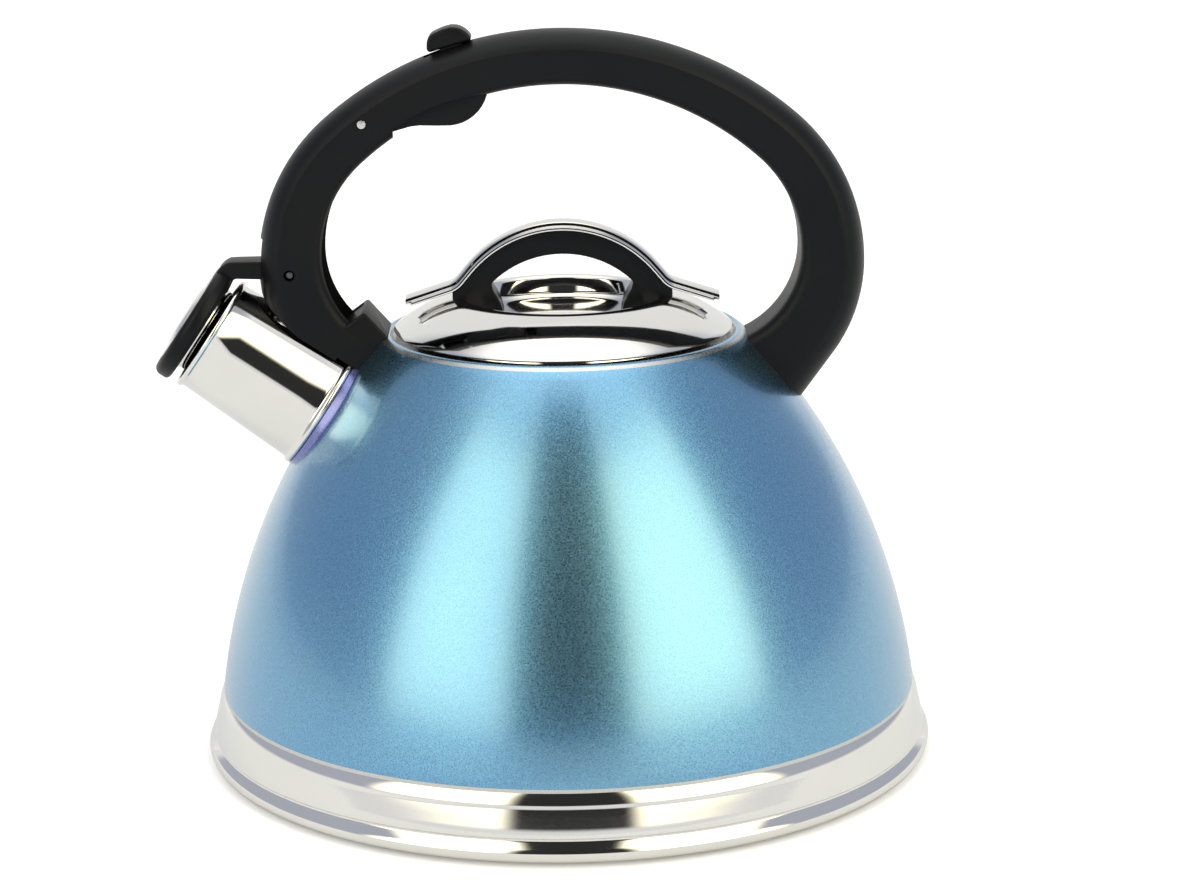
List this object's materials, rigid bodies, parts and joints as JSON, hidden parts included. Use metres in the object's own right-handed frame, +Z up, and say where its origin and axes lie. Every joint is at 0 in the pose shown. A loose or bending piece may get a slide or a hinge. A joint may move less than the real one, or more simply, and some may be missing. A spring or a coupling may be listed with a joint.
{
  "type": "stovetop whistling kettle",
  "caption": "Domed stovetop kettle with a lacquered body, polished band and lid, bridge handle, and a trigger that lifts the whistling spout flap.",
  "frame": {"origin": "centre of the base's resting face, on the axis of the round body", "axes": "+Z up along the body's axis, -X towards the spout, +Y towards the back as seen in the picture"},
  "size_m": [0.2316, 0.22, 0.219],
  "materials": {
    "blue_lacquer": "metallic lacquer, gloss",
    "polished_steel": "mirror polished",
    "capsule_steel": "brushed in circles",
    "heat_disc_alloy": "as rolled",
    "black_nylon": "satin",
    "black_grip": "smooth satin",
    "brass": "turned",
    "hardware_steel": "plain",
    "dark_steel": "blackened",
    "spring_steel": "drawn wire",
    "silicone": "moulded"
  },
  "bodies": {
    "kettle": {"base_pan": "polished_steel", "heat_disc": "heat_disc_alloy", "base_cap": "capsule_steel", "body_shell": "blue_lacquer", "spout_stub": "blue_lacquer", "spout_tube": "polished_steel", "handle": "black_nylon", "foot_inserts": "brass", "handle_screws": "hardware_steel", "screw_seals": "silicone", "trigger_pin": "hardware_steel", "cover_pin": "dark_steel", "trigger_spring": "spring_steel"},
    "trigger": {"trigger": "black_nylon", "link_pin": "hardware_steel"},
    "link": {"link_rod": "hardware_steel"},
    "cover": {"spout_cover": "black_nylon", "tail_pin": "hardware_steel", "whistle_outer_plate": "polished_steel", "whistle_inner_plate": "polished_steel"},
    "lid": {"lid_shell": "polished_steel", "lid_skirt": "polished_steel", "lid_grip": "black_grip", "lid_strap": "polished_steel", "lid_screws": "hardware_steel", "lid_washers": "hardware_steel"}
  },
  "joints": [
    {"name": "trigger_squeeze", "type": "hinge", "parent": "kettle", "child": "trigger", "pos_m": [-0.0576, 0, 0.1919], "axis": [0, -1, 0], "range_deg": [0, 14], "stiffness_Nm_per_rad": 0.08, "springref_deg": -28.65, "deforming": ["trigger_spring"]},
    {"name": "link_swing", "type": "hinge", "parent": "trigger", "child": "link", "pos_m": [-0.072, 0, 0.1795], "axis": [0, 1, 0], "range_deg": [0, 20]},
    {"name": "cover_lift", "type": "hinge", "parent": "kettle", "child": "cover", "pos_m": [-0.0801, 0, 0.1477], "axis": [0, 1, 0], "range_deg": [0, 31]},
    {"name": "lid_lift", "type": "slide", "parent": "kettle", "child": "lid", "axis": [0, 0, 1], "range_m": [0, 0.035]}
  ],
  "couplings": [
    {"joint": "link_swing", "follows": "trigger_squeeze", "ratio": 1.42},
    {"joint": "cover_lift", "follows": "trigger_squeeze", "ratio": 2.2}
  ]
}
